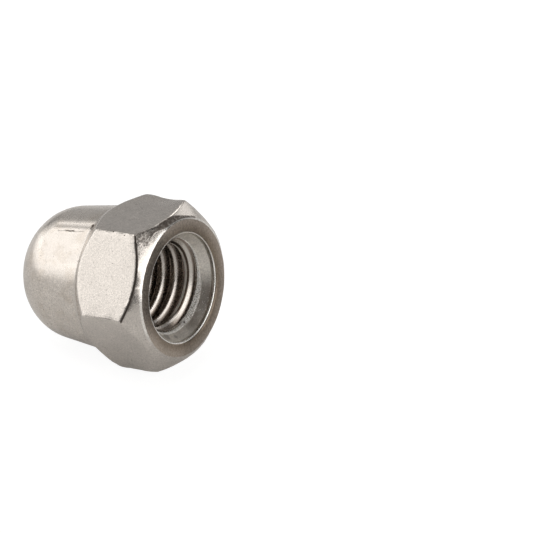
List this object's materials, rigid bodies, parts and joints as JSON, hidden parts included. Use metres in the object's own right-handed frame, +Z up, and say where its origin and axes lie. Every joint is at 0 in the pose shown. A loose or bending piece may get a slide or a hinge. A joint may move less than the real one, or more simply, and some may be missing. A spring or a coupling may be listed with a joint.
{
  "type": "cap nut",
  "caption": "Hexagonal stainless steel cap nut with a closed dome and a blind tapped hole, lying on its side with the open end raised.",
  "frame": {"origin": "on the ground under the middle of the nut's box, as it lies on one flat's rear edge and its dome", "axes": "+Z up; the nut's axis lies in the XZ plane, with the open end towards +X and raised by its resting tilt of about ten degrees"},
  "size_m": [0.0236, 0.0218, 0.0203],
  "materials": {
    "steel": "tumbled and polished stainless steel, slightly warm, with fine speckle"
  },
  "bodies": {
    "root": {"cap_nut": "steel"}
  },
  "joints": []
}
